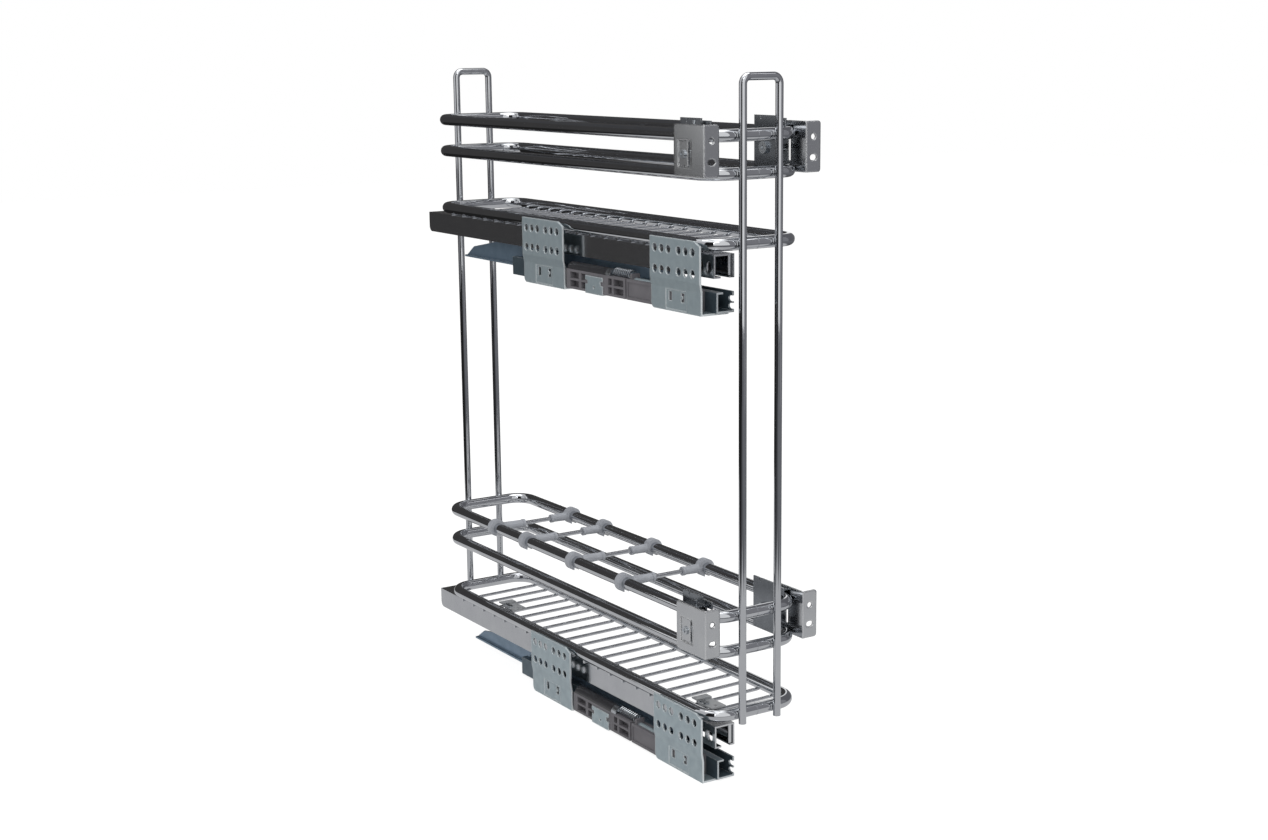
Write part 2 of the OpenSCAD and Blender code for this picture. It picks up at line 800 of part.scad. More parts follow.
// Curls of the tension spring, with an end that runs straight at each seat
curl_rings = 8;
spring_sides = 6;
lead = 1.6 * spring_wire;
curl_l = spring_l - 2 * lead;
function curl_point(i) =
    let (a = 360 * i / curl_rings, y = lead + curl_l * i / (curl_rings * spring_turns))
    [spring_r * cos(a), y, spring_r * sin(a)];
spring_path = concat(
    [[spring_r, 0, 0], [spring_r, lead / 2, 0]],
    [for (i = [0 : curl_rings * spring_turns]) curl_point(i)],
    [[spring_r, spring_l - lead / 2, 0], [spring_r, spring_l, 0]]
);
// Least gap between two parts of the wire that lie half a curl or more apart
spring_gap = min([
    for (i = [0 : len(spring_path) - 1], j = [i + curl_rings / 2 : 1 : len(spring_path) - 1])
        norm(spring_path[i] - spring_path[j])
]) - spring_wire;
echo(least_gap_of_spring = spring_gap);

module damper_spring() {
    translate([damper_x, spring_y0, spring_z])
        tube(spring_path, spring_wire / 2, spring_sides);
}

// Outer plate of a door bracket: side plate and door flange
module door_plate(x_out, s) {
    z0 = door_top - door_h;
    side = s > 0 ? x_out - door_t : x_out;
    difference() {
        union() {
            translate([side, flange_y, z0]) rotate([90, 0, 90])
                linear_extrude(door_t) rounded_sheet(door_l, door_h);
            translate([side, flange_y + door_t, z0]) rotate([90, 0, 0])
                linear_extrude(door_t) rounded_sheet(flange_w, door_h);
        }
        translate([
            s > 0 ? x_out - recess_depth : x_out - over,
            flange_y + recess_back, door_top - recess_drop - recess_h
        ])
            cube([recess_depth + over, recess_l, recess_h]);
        translate([
            side - over, flange_y + recess_back + recess_slot_inset,
            door_top - recess_drop - recess_h + recess_slot_inset / 2
        ])
            cube([door_t + 2 * over, recess_slot_w, recess_h - recess_slot_inset]);
        door_holes(side + flange_w / 2);
        translate([side - over, flange_y + plate_screw_back, door_top - plate_screw_drop])
            bar_x(plate_screw_d + 2 * seat, door_t + 2 * over);
    }
}

// Sheet outline that is folded on its left and rounded at its two right corners
module rounded_sheet(l, h) {
    r = door_round;
    square([l - r, h]);
    translate([l - r, r]) square([r, h - 2 * r]);
    for (z = [r, h - r]) translate([l - r, z]) circle(r = r);
}

// One round and one slotted hole in the door flange
module door_holes(x) {
    h = door_t + 2 * over;
    dx = (door_slot_l - door_hole_d) / 2;
    z = door_top - door_hole_top;
    translate([x, flange_y - over, z]) bar_y(door_hole_d, h);
    for (k = [-1, 1]) translate([x + k * dx, flange_y - over, z - door_hole_pitch])
        bar_y(door_hole_d, h);
    translate([x - dx, flange_y - over, z - door_hole_pitch - door_hole_d / 2])
        cube([2 * dx, h, door_hole_d]);
}

// Inner plate that clamps the two top rails, with tabs and a bridge over the rail
module clamp_plate(xr, s, x_out) {
    t = door_t;
    face = tube_d / 2 + clear;
    z0 = door_top - door_h;
    y1 = flange_y + clamp_rear;
    xp = s < 0 ? xr + face : xr - face - t;
    reach = abs(x_out - xr) - t - seat;
    difference() {
        union() {
            translate([xp, y1 - clamp_l, z0])
                cube([t, clamp_l, clamp_top - shoulder_drop - z0]);
            translate([xp, y1 - shoulder_l, face])
                cube([t, shoulder_l, clamp_top - shoulder_drop - face]);
            translate([xp, y1 - tab_l, z0]) cube([t, tab_l, clamp_top - z0]);
            translate([xp, y1 - tab_l - tab_gap - tab2_l, z0])
                cube([t, tab2_l, clamp_top - z0]);
            translate([
                s < 0 ? xr - reach : xp, flange_y + bridge_back, face
            ])
                cube([reach + face + t, bridge_l, t]);
        }
        translate([xp - over, y1 - tab_l - tab_gap, clamp_top - shoulder_drop - tab_gap])
            cube([t + 2 * over, tab_gap, tab_gap + over + shoulder_drop]);
        translate([xp - over, flange_y + clamp_screw_back, door_top - clamp_screw_drop])
            bar_x(clamp_screw_d + 2 * seat, t + 2 * over);
        translate([xr, flange_y + stud_back, face - over])
            cylinder(d = stud_d + 2 * seat, h = t + 2 * over);
    }
}

module cross_cut(depth) {
    for (a = [0, 90]) rotate([a, 0, 0])
        translate([-over, -cross_l / 2, -cross_w / 2]) cube([over + depth, cross_l, cross_w]);
}

// Clamp screw, plate screw and height stud of one door bracket
module door_screws(xr, s, x_out) {
    face = tube_d / 2 + clear + door_t;
    translate([xr, flange_y + clamp_screw_back, door_top - clamp_screw_drop])
        mirror([s < 0 ? 1 : 0, 0, 0]) {
            difference() {
                translate([-face - seat - clamp_head_h, 0, 0]) bar_x(clamp_head_d, clamp_head_h);
                translate([-face - seat - clamp_head_h, 0, 0]) cross_cut(cross_depth);
            }
            translate([-face - seat - cross_depth, 0, 0])
                bar_x(clamp_screw_d, face + cross_depth + abs(x_out - xr) - door_t);
        }
    translate([x_out, flange_y + plate_screw_back, door_top - plate_screw_drop])
        mirror([s > 0 ? 1 : 0, 0, 0]) {
            difference() {
                translate([recess_depth - seat - plate_head_h, 0, 0])
                    bar_x(plate_head_d, plate_head_h);
                translate([recess_depth - seat - plate_head_h, 0, 0]) cross_cut(plate_cross_depth);
            }
            translate([recess_depth - plate_cross_depth, 0, 0])
                bar_x(plate_screw_d, 2 * door_t);
        }
    translate([xr, flange_y + stud_back, tube_d / 2 + seat])
        cylinder(d = stud_d, h = clear + door_t + stud_rise);
}

// Stepped clips that hold the floor wires down on the channel
module floor_clips() {
    z = wire_z0 + wire_d / 2 + wire_rise / 2 + clear;
    t = clip_floor_t;
    rest = clip_floor_l - clip_low_l;
    for (y = [clip_front_y, clip_rear_y])
        translate([channel_x + clip_floor_in, front_y + y, z]) difference() {
            union() {
                cube([clip_floor_w, clip_low_l, t]);
                translate([0, clip_low_l - t, 0]) cube([clip_floor_w, t, clip_floor_step + t]);
                translate([0, clip_low_l - t, clip_floor_step])
                    cube([clip_floor_w, rest + t, t]);
                translate([0, clip_foot_y, -wire_d / 2]) cube([t, clip_foot_l, wire_d / 2]);
            }
            for (v = clip_screw_ys)
                translate([clip_screw_in, v, -over])
                    cylinder(d = clip_screw_d + 2 * seat, h = t + 2 * over);
            translate([clip_floor_w / 2, clip_hole_y, -over])
                cylinder(d = clip_hole_d, h = t + 2 * over);
        }
}

module clip_screws() {
    z = wire_z0 + wire_d / 2 + wire_rise / 2 + clear;
    for (y = [clip_front_y, clip_rear_y], v = clip_screw_ys)
        translate([channel_x + clip_floor_in + clip_screw_in, front_y + y + v, 0]) {
            translate([0, 0, channel_z + seat])
                cylinder(d = clip_screw_d, h = z + clip_floor_t + clip_head_h / 2 - channel_z);
            translate([0, 0, z + clip_floor_t + seat]) cylinder(d = clip_head_d, h = clip_head_h);
        }
}

// Snap rings and tapered sleeves of one divider
module divider_clips(y) {
    for (s = [-1, 1]) {
        l = s < 0 ? near_sleeve : far_sleeve;
        translate([s * rail_x, y, top_rail_h]) mirror([s > 0 ? 1 : 0, 0, 0]) difference() {
            union() {
                translate([0, -ring_w / 2, 0]) bar_y(ring_d, ring_w);
                rotate([0, 90, 0]) cylinder(r1 = sleeve_r0, r2 = sleeve_r1, h = l);
                translate([l - sleeve_step_l, 0, 0])
                    bar_x(2 * (sleeve_r1 + sleeve_step), sleeve_step_l);
            }
            translate([0, -ring_d, 0]) bar_y(ring_bore, 2 * ring_d);
            translate([-snap_slit / 2, -ring_w, -ring_d]) cube([snap_slit, 2 * ring_w, ring_d]);
            translate([rod_inset, 0, 0]) bar_x(divider_rod_d + 2 * seat, near_sleeve + far_sleeve);
        }
    }
}

module divider_rod(y) {
    translate([-rail_x + rod_inset + seat, y, top_rail_h])
        bar_x(divider_rod_d, 2 * (rail_x - rod_inset - seat));
}

left_x = -rail_x - left_out;
right_x = rail_x + right_out;

module front_loop() color("Gainsboro") place() translate([0, -rod_y, 0]) loop();
module rear_loop() color("Gainsboro") place() translate([0, rod_y, 0]) loop();
module upper_top_hoop() color("Silver") place(upper_top_z) hoop();
module upper_mid_hoop() color("Silver") place(upper_h + mid_rail_h) hoop();
module upper_floor_hoop() color("Silver") place(upper_h) hoop();
module lower_top_hoop() color("Silver") place(top_rail_h) hoop();
module lower_mid_hoop() color("Silver") place(mid_rail_h) hoop();
module lower_floor_hoop() color("Silver") place() hoop();
module upper_floor_wires() color("LightGray") place(upper_h) floor_wires();
module lower_floor_wires() color("LightGray") place() floor_wires();
module upper_carrier() color("DimGray") place(upper_h) channel();
module lower_carrier() color("DarkGray") place() channel();
module upper_floor_clips() color("LightSlateGray") place(upper_h) floor_clips();
module lower_floor_clips() color("LightSlateGray") place() floor_clips();
module floor_clip_screws() color("WhiteSmoke") {
    place(upper_h) clip_screws();
    place() clip_screws();
}
module upper_left_door_plate() color("Gray") place(upper_top_z) door_plate(left_x, -1);
module upper_right_door_plate() color("Gray") place(upper_top_z) door_plate(right_x, 1);
module lower_left_door_plate() color("DarkGray") place(top_rail_h) door_plate(left_x, -1);
module lower_right_door_plate() color("DarkGray") place(top_rail_h) door_plate(right_x, 1);
module upper_left_clamp() color("SlateGray") place(upper_top_z) clamp_plate(-rail_x, -1, left_x);
module upper_right_clamp() color("SlateGray") place(upper_top_z) clamp_plate(rail_x, 1, right_x);
module lower_left_clamp() color("Gray") place(top_rail_h) clamp_plate(-rail_x, -1, left_x);
module lower_right_clamp() color("Gray") place(top_rail_h) clamp_plate(rail_x, 1, right_x);
module door_bracket_screws() color("WhiteSmoke")
    for (z = [top_rail_h, upper_top_z]) place(z) {
        door_screws(-rail_x, -1, left_x);
        door_screws(rail_x, 1, right_x);
    }
module upper_middle_rail() color("SteelBlue") place(upper_h) middle_rail();
module lower_middle_rail() color("SteelBlue") place() middle_rail();
module upper_glides() color("Ivory") place(upper_h) glides();
module lower_glides() color("Ivory") place() glides();
module upper_fixed_rail() color("LightSlateGray") place(upper_h) fixed_rail();
module lower_fixed_rail() color("LightSlateGray") place() fixed_rail();
module upper_front_bracket() color("LightSteelBlue") place(upper_h) runner_bracket(bracket_y0);
module upper_rear_bracket() color("LightSteelBlue") place(upper_h) runner_bracket(rear_edge);
module lower_front_bracket() color("LightSteelBlue") place() runner_bracket(bracket_y0);
module lower_rear_bracket() color("LightSteelBlue") place() runner_bracket(rear_edge);
module upper_damper_housing() color("DimGray") place(upper_h) damper_housing();
module lower_damper_housing() color("DimGray") place() damper_housing();
module upper_damper_cover() color("DarkSlateGray") place(upper_h) damper_cover();
module lower_damper_cover() color("DarkSlateGray") place() damper_cover();
module upper_clip_plate() color("LightSteelBlue") place(upper_h) clip_plate();
module lower_clip_plate() color("LightSteelBlue") place() clip_plate();
module upper_damper_cylinder() color("LightSteelBlue") place(upper_h) damper_cylinder();
module lower_damper_cylinder() color("LightSteelBlue") place() damper_cylinder();
module upper_spring_seat() color("Silver") place(upper_h) spring_seat();
module lower_spring_seat() color("Silver") place() spring_seat();
module upper_damper_spring() color("WhiteSmoke") place(upper_h) damper_spring();
module lower_damper_spring() color("WhiteSmoke") place() damper_spring();
module divider_1_rod() color("Silver") place() divider_rod(divider_1);
module divider_1_clips() color("LightGray") place() divider_clips(divider_1);
module divider_2_rod() color("Silver") place() divider_rod(divider_2);
module divider_2_clips() color("LightGray") place() divider_clips(divider_2);
module divider_3_rod() color("Silver") place() divider_rod(divider_3);
module divider_3_clips() color("LightGray") place() divider_clips(divider_3);
module divider_4_rod() color("Silver") place() divider_rod(divider_4);
module divider_4_clips() color("LightGray") place() divider_clips(divider_4);

front_loop();
rear_loop();
upper_top_hoop();
upper_mid_hoop();
upper_floor_hoop();
lower_top_hoop();
lower_mid_hoop();
lower_floor_hoop();
upper_floor_wires();
lower_floor_wires();
upper_carrier();
lower_carrier();
upper_floor_clips();
lower_floor_clips();
floor_clip_screws();
upper_left_door_plate();
upper_right_door_plate();
lower_left_door_plate();
lower_right_door_plate();
upper_left_clamp();
upper_right_clamp();
lower_left_clamp();
lower_right_clamp();
door_bracket_screws();
upper_middle_rail();
lower_middle_rail();
upper_glides();
lower_glides();
upper_fixed_rail();
lower_fixed_rail();
upper_front_bracket();
upper_rear_bracket();
lower_front_bracket();
lower_rear_bracket();
upper_damper_housing();
lower_damper_housing();
upper_damper_cover();
lower_damper_cover();
upper_clip_plate();
lower_clip_plate();
upper_damper_cylinder();
lower_damper_cylinder();
upper_spring_seat();
lower_spring_seat();
upper_damper_spring();
lower_damper_spring();
divider_1_rod();
divider_1_clips();
divider_2_rod();
divider_2_clips();
divider_3_rod();
divider_3_clips();
divider_4_rod();
divider_4_clips();
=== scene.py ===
import math
import bmesh
import bpy
from mathutils import Matrix, Vector


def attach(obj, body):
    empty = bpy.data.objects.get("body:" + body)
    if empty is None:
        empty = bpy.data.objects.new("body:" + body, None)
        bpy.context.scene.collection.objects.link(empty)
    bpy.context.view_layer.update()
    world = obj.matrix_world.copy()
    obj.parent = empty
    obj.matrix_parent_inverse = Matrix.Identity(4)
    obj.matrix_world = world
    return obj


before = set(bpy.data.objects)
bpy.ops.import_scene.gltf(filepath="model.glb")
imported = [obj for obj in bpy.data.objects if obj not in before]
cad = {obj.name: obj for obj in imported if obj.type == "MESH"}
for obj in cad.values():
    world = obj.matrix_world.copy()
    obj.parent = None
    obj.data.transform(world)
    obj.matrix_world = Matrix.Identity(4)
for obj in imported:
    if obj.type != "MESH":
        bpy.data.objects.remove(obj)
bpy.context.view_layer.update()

scene = bpy.context.scene

# --- camera, at the photograph's place
photoCamera = {
    "place": (-0.7854, -1.17205, 0.5239),
    "turn": (78.7178, 0.5956, -32.7144),  # degrees, XYZ
    "lens": 53.905,
    "sensor": 36.0,
    "clip": (0.01, 50.0),
}


def addCamera(spec):
    data = bpy.data.cameras.new("photoCamera")
    data.lens = spec["lens"]
    data.sensor_fit = "HORIZONTAL"
    data.sensor_width = spec["sensor"]
    data.clip_start, data.clip_end = spec["clip"]
    cam = bpy.data.objects.new("photoCamera", data)
    cam.location = spec["place"]
    cam.rotation_euler = [math.radians(a) for a in spec["turn"]]
    scene.collection.objects.link(cam)
    scene.camera = cam


addCamera(photoCamera)
scene.view_settings.view_transform = "Standard"


# --- small helpers for node trees
def linear(hexColour):
    parts = [int(hexColour[i:i + 2], 16) / 255 for i in (1, 3, 5)]
    return tuple(c / 12.92 if c <= 0.04045 else ((c + 0.055) / 1.055) ** 2.4 for c in parts) + (1.0,)


def perMetre(millimetres):               # how often a pattern of that size repeats in a metre
    return 1000.0 / millimetres


def addNode(tree, kind, inputs=None, **settings):
    node = tree.nodes.new(kind)
    for name, value in settings.items():
        setattr(node, name, value)
    for socket, value in (inputs or {}).items():
        if isinstance(value, bpy.types.NodeSocket):
            tree.links.new(value, node.inputs[socket])
        else:
            node.inputs[socket].default_value = value
    return node


def newMaterial(name):
    material = bpy.data.materials.new(name)
    material.use_nodes = True
    tree = material.node_tree
    tree.nodes.clear()
    return material, tree


def ramp(tree, value, low, high, fromMin=0.3, fromMax=0.7):
    return addNode(tree, "ShaderNodeMapRange", {
        "Value": value, "From Min": fromMin, "From Max": fromMax, "To Min": low, "To Max": high,
    }).outputs["Result"]


edgeLimits = {                           # where the painted edge highlight starts and where it is full
    "rim": (0.88, 0.995),
    "cut": (0.85, 0.97),
    "samples": 4,
}


def paintedEdgeHighlights(tree, spec):             # painted highlight mask: 1 on faces turned along the given axis and along bent or cut edges, else 0
    soft = addNode(tree, "ShaderNodeBevel", {"Radius": spec["edgeMm"] / 1000},
                   samples=edgeLimits["samples"]).outputs["Normal"]
    flat = addNode(tree, "ShaderNodeNewGeometry").outputs["True Normal"]
    alike = addNode(tree, "ShaderNodeVectorMath", {0: soft, 1: flat}, operation="DOT_PRODUCT")
    rim = ramp(tree, alike.outputs["Value"], 1.0, 0.0, *edgeLimits["rim"])
    # painted highlight: faces turned along the given axis are made lighter, as if lit from the front
    facing = addNode(tree, "ShaderNodeTexCoord").outputs["Normal"]
    facing = addNode(tree, "ShaderNodeVectorMath", {0: facing}, operation="ABSOLUTE").outputs["Vector"]
    along = addNode(tree, "ShaderNodeVectorMath", {0: facing, 1: spec["cutFace"]}, operation="DOT_PRODUCT")
    cut = ramp(tree, along.outputs["Value"], 0.0, 1.0, *edgeLimits["cut"])
    either = addNode(tree, "ShaderNodeMath", {0: rim, 1: cut}, operation="MAXIMUM").outputs[0]
    return either, soft


def metalFinish(name, spec):
    material, tree = newMaterial(name)
    where = addNode(tree, "ShaderNodeTexCoord").outputs["Object"]
    stretched = addNode(tree, "ShaderNodeMapping", {
        "Vector": where, "Scale": spec.get("stretch", (1, 1, 1))}).outputs["Vector"]
    cloud = addNode(tree, "ShaderNodeTexNoise", {
        "Vector": where, "Scale": perMetre(spec["cloudMm"]), "Detail": 3.0})
    grain = addNode(tree, "ShaderNodeTexNoise", {
        "Vector": stretched, "Scale": perMetre(spec["grainMm"]), "Detail": 2.0})
    tone = addNode(tree, "ShaderNodeMix", {
        "Factor": ramp(tree, cloud.outputs["Fac"], 0, 1),
        "A": linear(spec["colour"]), "B": linear(spec["shade"])}, data_type="RGBA").outputs["Result"]
    bump = addNode(tree, "ShaderNodeBump", {
        "Height": grain.outputs["Fac"], "Strength": spec["bump"], "Distance": spec["bumpMm"] / 1000})
    # painted highlight: bends, sharp edges and faces along the given axis take a lighter colour
    if "edge" in spec:
        edge, soft = paintedEdgeHighlights(tree, spec)
        tree.links.new(soft, bump.inputs["Normal"])
        tone = addNode(tree, "ShaderNodeMix", {
            "Factor": edge, "A": tone, "B": linear(spec["edge"])}, data_type="RGBA").outputs["Result"]
    shader = addNode(tree, "ShaderNodeBsdfPrincipled", {
        "Base Color": tone, "Metallic": spec["metallic"],
        "Roughness": ramp(tree, cloud.outputs["Fac"], *spec["rough"]),
        "Normal": bump.outputs["Normal"]})
    addNode(tree, "ShaderNodeOutputMaterial", {"Surface": shader.outputs["BSDF"]})
    return material


def plasticFinish(name, spec):
    material, tree = newMaterial(name)
    where = addNode(tree, "ShaderNodeTexCoord").outputs["Object"]
    cloud = addNode(tree, "ShaderNodeTexNoise", {
        "Vector": where, "Scale": perMetre(spec["cloudMm"]), "Detail": 2.0})
    grain = addNode(tree, "ShaderNodeTexNoise", {
        "Vector": where, "Scale": perMetre(spec["grainMm"]), "Detail": 1.0})
    tone = addNode(tree, "ShaderNodeMix", {
        "Factor": ramp(tree, cloud.outputs["Fac"], 0, 1),
        "A": linear(spec["colour"]), "B": linear(spec["shade"])}, data_type="RGBA")
    bump = addNode(tree, "ShaderNodeBump", {
        "Height": grain.outputs["Fac"], "Strength": spec["bump"], "Distance": spec["bumpMm"] / 1000})
    shader = addNode(tree, "ShaderNodeBsdfPrincipled", {
        "Base Color": tone.outputs["Result"], "Roughness": ramp(tree, grain.outputs["Fac"], *spec["rough"]),
        "IOR": spec["ior"], "Normal": bump.outputs["Normal"]})
    addNode(tree, "ShaderNodeOutputMaterial", {"Surface": shader.outputs["BSDF"]})
    return material


# --- finishes, each named for what the real one is
# bright chrome plate over polished steel: a clean mirror with a faint wave
chromePlate = metalFinish("chromePlate", {
    "colour": "#C9CBCE", "shade": "#C2C4C8", "metallic": 1.0, "rough": (0.04, 0.07),
    "cloudMm": 14, "grainMm": 9, "bump": 0.05, "bumpMm": 0.2})
# the same plate on welds: small and slightly rippled
chromeWeld = metalFinish("chromeWeld", {
    "colour": "#B9BBBE", "shade": "#A6A8AC", "metallic": 1.0, "rough": (0.12, 0.2),
    "cloudMm": 2, "grainMm": 0.8, "bump": 0.3, "bumpMm": 0.2})
# chrome plate over rolled sheet: the same mirror, a little softer along the rolling direction, with a
# painted highlight on its bends and end faces
chromeSheet = metalFinish("chromeSheet", {
    "colour": "#C3C5C8", "shade": "#BBBDC1", "metallic": 1.0, "rough": (0.12, 0.17),
    "cloudMm": 18, "grainMm": 1.2, "stretch": (1, 0.06, 1), "bump": 0.05, "bumpMm": 0.05,
    "edge": "#DADCDE", "edgeMm": 0.5, "cutFace": (0, 1, 0)})
# blue passivated zinc on pressed sheet: milky blue grey, faint clouds, with a painted highlight where it is
# bent and on its cut ends
zincSheet = metalFinish("zincSheet", {
    "colour": "#A3B0B5", "shade": "#97A4AA", "metallic": 0.55, "rough": (0.36, 0.46),
    "cloudMm": 7, "grainMm": 0.7, "bump": 0.12, "bumpMm": 0.05,
    "edge": "#DCE2E4", "edgeMm": 1.4, "cutFace": (0, 1, 0)})
# the same zinc on a roll formed rail: darker and drawn out along its length, a painted highlight on its sawn
# ends and bends
zincRail = metalFinish("zincRail", {
    "colour": "#56646D", "shade": "#4B5962", "metallic": 0.6, "rough": (0.30, 0.38),
    "cloudMm": 9, "grainMm": 0.8, "stretch": (1, 0.08, 1), "bump": 0.12, "bumpMm": 0.05,
    "edge": "#B9BFC2", "edgeMm": 0.7, "cutFace": (0, 1, 0)})
# the middle rails' zinc: bluer and a little smoother, with a painted highlight on its ends and bends
zincDark = metalFinish("zincDark", {
    "colour": "#7A8EA1", "shade": "#6F8395", "metallic": 0.6, "rough": (0.28, 0.36),
    "cloudMm": 9, "grainMm": 0.8, "stretch": (1, 0.08, 1), "bump": 0.12, "bumpMm": 0.05,
    "edge": "#9FA8AD", "edgeMm": 0.5, "cutFace": (0, 1, 0)})
# bright nickel on the door brackets: a soft mirror, faintly brushed, with a painted highlight along its
# folds
nickelSheet = metalFinish("nickelSheet", {
    "colour": "#C8CACC", "shade": "#C1C3C6", "metallic": 1.0, "rough": (0.17, 0.2),
    "cloudMm": 20, "grainMm": 0.6, "bump": 0.04, "bumpMm": 0.04,
    "edge": "#F0F1F2", "edgeMm": 2.0, "cutFace": (0, 0, 0)})
# the same nickel on the clamps inside, made darker as painted shade because they see less light, with a
# painted highlight along their edges
nickelClampShaded = metalFinish("nickelClampShaded", {
    "colour": "#898D92", "shade": "#83878C", "metallic": 1.0, "rough": (0.2, 0.26),
    "cloudMm": 20, "grainMm": 0.6, "bump": 0.05, "bumpMm": 0.04,
    "edge": "#C9CBCE", "edgeMm": 0.7, "cutFace": (0, 0, 0)})
# bright zinc screws and spring wire
brightSteel = metalFinish("brightSteel", {
    "colour": "#C8CCD0", "shade": "#B9BEC3", "metallic": 1.0, "rough": (0.16, 0.26),
    "cloudMm": 2, "grainMm": 0.4, "bump": 0.1, "bumpMm": 0.03})
# moulded plastics: soft close housing and cover, divider clips, floor clips, glides
darkMoulding = plasticFinish("darkMoulding", {
    "colour": "#646266", "shade": "#5C5A5E", "rough": (0.48, 0.6), "ior": 1.5,
    "cloudMm": 12, "grainMm": 0.35, "bump": 0.25, "bumpMm": 0.05})
coverMoulding = plasticFinish("coverMoulding", {
    "colour": "#2E2E31", "shade": "#28282B", "rough": (0.2, 0.26), "ior": 1.5,
    "cloudMm": 12, "grainMm": 0.5, "bump": 0.15, "bumpMm": 0.04})
greyMoulding = plasticFinish("greyMoulding", {
    "colour": "#96999F", "shade": "#8D9096", "rough": (0.34, 0.44), "ior": 1.5,
    "cloudMm": 9, "grainMm": 0.5, "bump": 0.15, "bumpMm": 0.04})
clipMoulding = plasticFinish("clipMoulding", {
    "colour": "#97999B", "shade": "#8C8E91", "rough": (0.26, 0.36), "ior": 1.5,
    "cloudMm": 9, "grainMm": 0.5, "bump": 0.15, "bumpMm": 0.04})
glideMoulding = plasticFinish("glideMoulding", {
    "colour": "#C9C9C4", "shade": "#BFBFB9", "rough": (0.4, 0.5), "ior": 1.5,
    "cloudMm": 9, "grainMm": 0.5, "bump": 0.15, "bumpMm": 0.04})
print("finishes made")

finishOf = [                             # the end of a node's name, and its finish
    ("_hoop", chromePlate), ("_loop", chromePlate), ("_floor_wires", chromePlate),
    ("_carrier", chromeSheet), ("_floor_clips", clipMoulding), ("_screws", brightSteel),
    ("_door_plate", nickelSheet), ("_clamp", nickelClampShaded),
    ("_middle_rail", zincDark), ("_glides", glideMoulding), ("_fixed_rail", zincRail),
    ("_bracket", zincSheet), ("_damper_housing", darkMoulding), ("_damper_cover", coverMoulding),
    ("_clip_plate", zincSheet), ("_damper_cylinder", zincSheet), ("_spring_seat", brightSteel),
    ("_damper_spring", brightSteel), ("_rod", chromePlate), ("_clips", greyMoulding),
]


def dressNodes():
    for name, part in cad.items():
        finish = next(f for end, f in finishOf if name.endswith(end))
        part.data.materials.clear()
        part.data.materials.append(finish)


dressNodes()
print("CAD nodes dressed")

# --- welds, where the wires and the uprights meet the rails
welds = {
    "rows": 20, "pitch": 0.0201, "railAt": 0.03975, "wireDown": 0.0048,
    "inward": 0.0031, "farRise": 0.0012,     # from the rail's centre line, and of the far row
    "middle": (0.0485, 0.17875, 0.0133),     # centre of the lower floor rail
    "baskets": (0.0, 0.3635),
    "levels": (0.0, 0.0513, 0.0792, 0.3635, 0.4148, 0.4427),
    "legAt": 0.0165, "legHalf": 0.0031, "endAt": 0.2206,
    "wireBead": (0.0017, 0.0021, 0.0013), "legBead": (0.0011, 0.0009, 0.0030),
    "segments": (10, 6),
}


def addBead(mesh, place, size, segments):
    turn = Matrix.LocRotScale(Vector(place), None, Vector(size))
    around, down = segments
    bmesh.ops.create_uvsphere(mesh, u_segments=around, v_segments=down, radius=1.0, matrix=turn)


def addWelds(spec):
    mesh = bmesh.new()
    mx, my, mz = spec["middle"]
    for base in spec["baskets"]:
        for row in range(spec["rows"]):
            y = my + (row - (spec["rows"] - 1) / 2) * spec["pitch"]
            for side in (-1, 1):
                x = mx + side * (spec["railAt"] - spec["inward"])
                rise = 0.0 if side < 0 else spec["farRise"]
                place = (x, y, mz + base - spec["wireDown"] + rise)
                addBead(mesh, place, spec["wireBead"], spec["segments"])
    for level in spec["levels"]:
        for end in (-1, 1):
            for leg in (-1, 1):
                for side in (-1, 1):
                    x = mx + leg * spec["legAt"] + side * spec["legHalf"]
                    place = (x, my + end * spec["endAt"], mz + level)
                    addBead(mesh, place, spec["legBead"], spec["segments"])
    data = bpy.data.meshes.new("railWelds")
    mesh.to_mesh(data)
    mesh.free()
    for face in data.polygons:
        face.use_smooth = True
    data.materials.append(chromeWeld)
    piece = bpy.data.objects.new("railWelds", data)
    scene.collection.objects.link(piece)
    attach(piece, "basket_frame")


addWelds(welds)
print("welds added")

# --- stop tabs: the channels' far walls are folded back at the front end
stopTabs = {
    "origin": welds["middle"],
    "path": [(-0.02175, -0.2128), (-0.02175, -0.2149), (-0.02190, -0.2155), (-0.02225, -0.2160),
             (-0.02280, -0.21635), (-0.02345, -0.2165), (-0.0253, -0.2165)],
    "thick": 0.0011,
    "foot": -0.0224, "head": -0.00795,
    "levels": welds["baskets"],
}


def addStopTabs(spec):
    ox, oy, oz = spec["origin"]
    half = spec["thick"] / 2
    mesh = bmesh.new()
    path = [Vector(p) for p in spec["path"]]
    for level in spec["levels"]:
        rows = []
        for i, point in enumerate(path):
            way = (path[min(i + 1, len(path) - 1)] - path[max(i - 1, 0)]).normalized()
            side = Vector((-way.y, way.x)) * half
            rows.append([mesh.verts.new((ox + q.x, oy + q.y, oz + level + z))
                         for q in (point - side, point + side) for z in (spec["foot"], spec["head"])])
        for a, b in zip(rows, rows[1:]):
            for i, j in ((0, 1), (1, 3), (3, 2), (2, 0)):
                mesh.faces.new((a[i], a[j], b[j], b[i]))
        for end in (rows[0], rows[-1]):
            mesh.faces.new([end[k] for k in (0, 1, 3, 2)])
    bmesh.ops.recalc_face_normals(mesh, faces=mesh.faces)
    data = bpy.data.meshes.new("channelStopTabs")
    mesh.to_mesh(data)
    mesh.free()
    data.materials.append(chromeSheet)
    piece = bpy.data.objects.new("channelStopTabs", data)
    scene.collection.objects.link(piece)
    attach(piece, "basket_frame")


addStopTabs(stopTabs)
print("stop tabs added")

